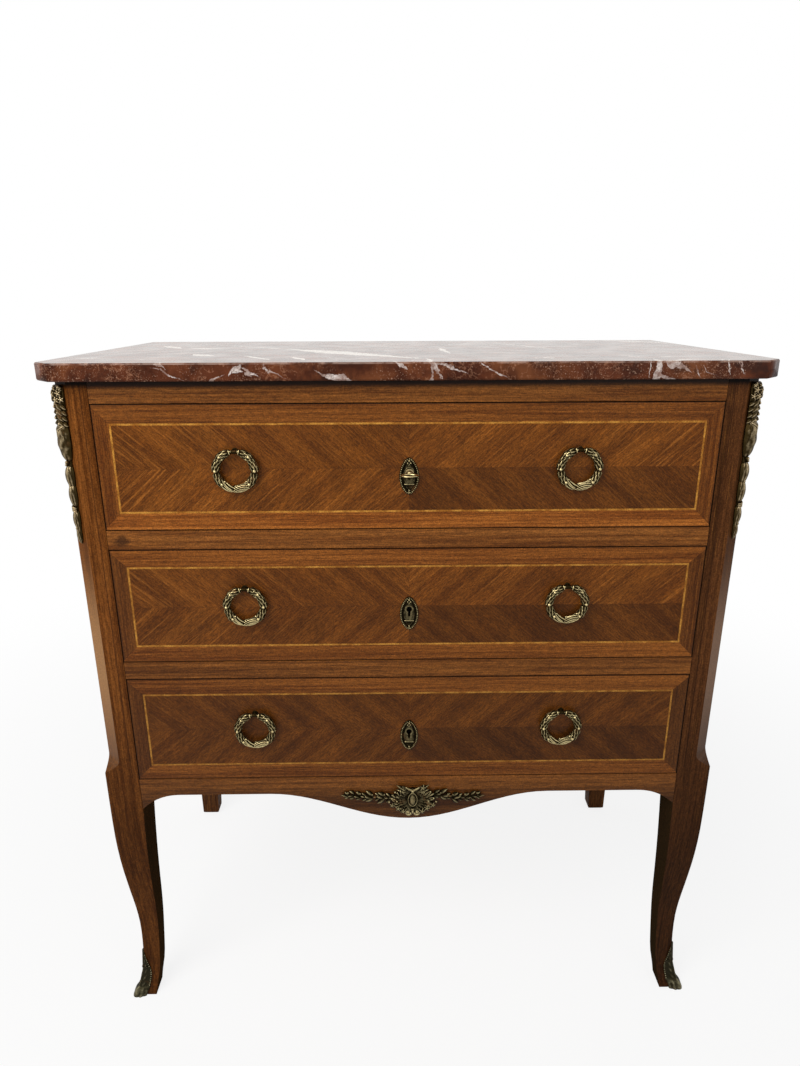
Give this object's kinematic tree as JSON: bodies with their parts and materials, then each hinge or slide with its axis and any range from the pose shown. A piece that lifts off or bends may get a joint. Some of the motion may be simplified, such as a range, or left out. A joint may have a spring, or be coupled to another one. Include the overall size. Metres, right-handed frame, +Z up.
{
  "type": "commode chest",
  "caption": "Chest of drawers with a marble slab, inlaid inset drawers on slides, ring pulls, a key lock, a shaped apron and curved front legs with brass mounts.",
  "frame": {"origin": "on the floor, under the middle of the outer box, which includes the key in the top drawer", "axes": "+X to the viewer's right, +Y to the back, +Z up; the drawers open towards -Y"},
  "size_m": [0.78, 0.432, 0.858],
  "materials": {
    "marble": "polished red-brown marble with white veins",
    "veneer": "satin varnished mahogany and kingwood veneer with pale stringing",
    "carcass_wood": "plain unpolished wood",
    "drawer_lining": "plain sanded wood",
    "brass": "aged gilt brass, dark in the hollows",
    "iron": "dull iron lock case"
  },
  "bodies": {
    "case": {"front_leg_left": "veneer", "rear_post_left": "veneer", "side_panel_left": "veneer", "runner_1_left": "carcass_wood", "runner_2_left": "carcass_wood", "runner_3_left": "carcass_wood", "corner_mount_left": "brass", "sabot_left": "brass", "front_leg_right": "veneer", "rear_post_right": "veneer", "side_panel_right": "veneer", "runner_1_right": "carcass_wood", "runner_2_right": "carcass_wood", "runner_3_right": "carcass_wood", "corner_mount_right": "brass", "sabot_right": "brass", "marble_top": "marble", "back_panel": "carcass_wood", "top_rail": "veneer", "rail_1_2": "veneer", "rail_2_3": "veneer", "front_apron": "veneer", "apron_mount": "brass"},
    "drawer_1": {"drawer_1_front": "veneer", "drawer_1_side_left": "drawer_lining", "drawer_1_side_right": "drawer_lining", "drawer_1_back": "drawer_lining", "drawer_1_bottom": "drawer_lining", "lock_1": "iron", "keyhole_plate_1": "brass", "ring_stud_1_left": "brass", "ring_stud_1_right": "brass"},
    "lock_bolt_1": {"lock_bolt_1": "brass"},
    "ring_1_left": {"ring_1_left": "brass"},
    "ring_1_right": {"ring_1_right": "brass"},
    "drawer_2": {"drawer_2_front": "veneer", "drawer_2_side_left": "drawer_lining", "drawer_2_side_right": "drawer_lining", "drawer_2_back": "drawer_lining", "drawer_2_bottom": "drawer_lining", "lock_2": "iron", "keyhole_plate_2": "brass", "ring_stud_2_left": "brass", "ring_stud_2_right": "brass"},
    "lock_bolt_2": {"lock_bolt_2": "brass"},
    "ring_2_left": {"ring_2_left": "brass"},
    "ring_2_right": {"ring_2_right": "brass"},
    "drawer_3": {"drawer_3_front": "veneer", "drawer_3_side_left": "drawer_lining", "drawer_3_side_right": "drawer_lining", "drawer_3_back": "drawer_lining", "drawer_3_bottom": "drawer_lining", "lock_3": "iron", "keyhole_plate_3": "brass", "ring_stud_3_left": "brass", "ring_stud_3_right": "brass"},
    "lock_bolt_3": {"lock_bolt_3": "brass"},
    "ring_3_left": {"ring_3_left": "brass"},
    "ring_3_right": {"ring_3_right": "brass"},
    "key": {"key": "brass"}
  },
  "joints": [
    {"name": "drawer_1_slide", "type": "slide", "parent": "case", "child": "drawer_1", "axis": [0, -1, 0], "range_m": [0, 0.3]},
    {"name": "lock_bolt_1_slide", "type": "slide", "parent": "drawer_1", "child": "lock_bolt_1", "axis": [0, 0, 1], "range_m": [0, 0.006]},
    {"name": "ring_1_left_swing", "type": "hinge", "parent": "drawer_1", "child": "ring_1_left", "pos_m": [-0.18701, -0.1904, 0.76479], "axis": [-1, 0, 0], "range_deg": [0, 175]},
    {"name": "ring_1_right_swing", "type": "hinge", "parent": "drawer_1", "child": "ring_1_right", "pos_m": [0.18397, -0.1904, 0.76479], "axis": [-1, 0, 0], "range_deg": [0, 175]},
    {"name": "drawer_2_slide", "type": "slide", "parent": "case", "child": "drawer_2", "axis": [0, -1, 0], "range_m": [0, 0.3]},
    {"name": "lock_bolt_2_slide", "type": "slide", "parent": "drawer_2", "child": "lock_bolt_2", "axis": [0, 0, 1], "range_m": [0, 0.006]},
    {"name": "ring_2_left_swing", "type": "hinge", "parent": "drawer_2", "child": "ring_2_left", "pos_m": [-0.18701, -0.1904, 0.60684], "axis": [-1, 0, 0], "range_deg": [0, 175]},
    {"name": "ring_2_right_swing", "type": "hinge", "parent": "drawer_2", "child": "ring_2_right", "pos_m": [0.18093, -0.1904, 0.60684], "axis": [-1, 0, 0], "range_deg": [0, 175]},
    {"name": "drawer_3_slide", "type": "slide", "parent": "case", "child": "drawer_3", "axis": [0, -1, 0], "range_m": [0, 0.3]},
    {"name": "lock_bolt_3_slide", "type": "slide", "parent": "drawer_3", "child": "lock_bolt_3", "axis": [0, 0, 1], "range_m": [0, 0.006]},
    {"name": "ring_3_left_swing", "type": "hinge", "parent": "drawer_3", "child": "ring_3_left", "pos_m": [-0.186, -0.1904, 0.44424], "axis": [-1, 0, 0], "range_deg": [0, 175]},
    {"name": "ring_3_right_swing", "type": "hinge", "parent": "drawer_3", "child": "ring_3_right", "pos_m": [0.18397, -0.1904, 0.44424], "axis": [-1, 0, 0], "range_deg": [0, 175]},
    {"name": "key_turn", "type": "hinge", "parent": "drawer_1", "child": "key", "pos_m": [0, -0.185, 0.7415], "axis": [0, 1, 0], "range_deg": [0, 270]}
  ],
  "couplings": [
    {"joint": "key_turn", "follows": "lock_bolt_1_slide", "rad_per_m": 785.3}
  ]
}
